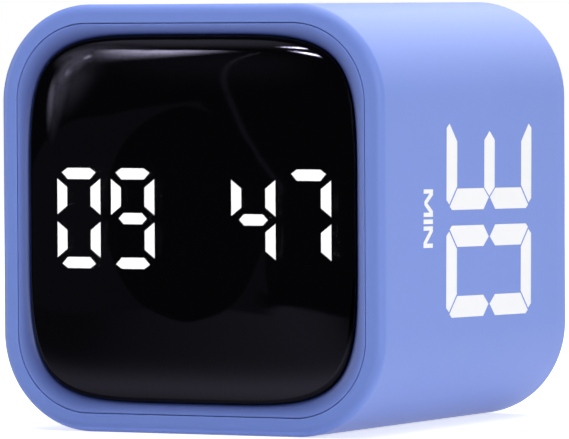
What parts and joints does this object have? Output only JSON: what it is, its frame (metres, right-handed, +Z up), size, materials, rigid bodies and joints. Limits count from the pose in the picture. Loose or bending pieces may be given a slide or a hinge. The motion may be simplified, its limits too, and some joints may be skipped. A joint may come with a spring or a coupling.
{
  "type": "cube timer",
  "caption": "Cube countdown timer with a lit segment display behind a domed dark lens, numbered sides to turn it onto, and keys, a sound switch and a charging socket at the back.",
  "frame": {"origin": "centre of the side it stands on, at the middle of its width and depth", "axes": "+Z up, -Y out of the display, +X to the right of the display"},
  "size_m": [0.06, 0.061, 0.06],
  "materials": {
    "case_plastic": "fine moulded matt",
    "bezel_plastic": "fine moulded satin",
    "smoked_lens": "polished",
    "black_tape": "matt foam",
    "display_mask": "matt",
    "segment_lit": "frosted, lit from behind",
    "segment_unlit": "frosted",
    "circuit_board": "solder mask",
    "lamp_chip": "clear over phosphor",
    "chip_plastic": "moulded",
    "white_nylon": "moulded",
    "tray_plastic": "moulded",
    "tape_foam": "foam",
    "battery_foil": "foil pouch",
    "board_amber": "varnished",
    "screw_steel": "zinc plated",
    "lead_insulation": "extruded",
    "cable_grey": "laminated",
    "socket_steel": "nickel plated",
    "key_plastic": "fine moulded matt",
    "cone_film": "pressed film",
    "magnet_iron": "plated"
  },
  "bodies": {
    "case": {"case_sleeve": "case_plastic", "rear_cover": "case_plastic", "front_bezel": "bezel_plastic", "display_lens": "smoked_lens", "lens_tape": "black_tape", "speaker_gasket": "black_tape", "segment_reflector": "display_mask", "lit_segments": "segment_lit", "unlit_segments": "segment_unlit", "display_board": "circuit_board", "main_board": "circuit_board", "segment_leds": "lamp_chip", "display_driver": "chip_plastic", "microcontroller": "chip_plastic", "charge_controller": "chip_plastic", "tilt_sensor": "chip_plastic", "key_switches": "chip_plastic", "display_header": "white_nylon", "main_header": "white_nylon", "battery_connector": "white_nylon", "battery_tray": "tray_plastic", "socket_tongue": "tray_plastic", "battery_tape": "tape_foam", "battery_cell": "battery_foil", "cell_protection_board": "board_amber", "board_passives": "board_amber", "tray_screws": "screw_steel", "board_screws": "screw_steel", "cover_screws": "screw_steel", "battery_leads": "lead_insulation", "speaker_leads": "lead_insulation", "flat_cable": "cable_grey", "socket_shell": "socket_steel", "sound_switch": "socket_steel", "speaker_frame": "socket_steel", "speaker_cone": "cone_film", "speaker_magnet": "magnet_iron"},
    "minute_key_body": {"minute_key": "key_plastic", "minute_plunger": "white_nylon"},
    "second_key_body": {"second_key": "key_plastic", "second_plunger": "white_nylon"},
    "start_key_body": {"start_key": "key_plastic", "start_plunger": "white_nylon"},
    "sound_knob_body": {"sound_knob": "key_plastic", "sound_lever": "tray_plastic"}
  },
  "joints": [
    {"name": "minute_press", "type": "slide", "parent": "case", "child": "minute_key_body", "axis": [0, -1, 0], "range_m": [0, 0.00025], "stiffness_N_per_m": 600},
    {"name": "second_press", "type": "slide", "parent": "case", "child": "second_key_body", "axis": [0, -1, 0], "range_m": [0, 0.00025], "stiffness_N_per_m": 600},
    {"name": "start_press", "type": "slide", "parent": "case", "child": "start_key_body", "axis": [0, -1, 0], "range_m": [0, 0.00025], "stiffness_N_per_m": 600},
    {"name": "sound_slide", "type": "slide", "parent": "case", "child": "sound_knob_body", "axis": [1, 0, 0], "range_m": [-0.002, 0.002]}
  ]
}
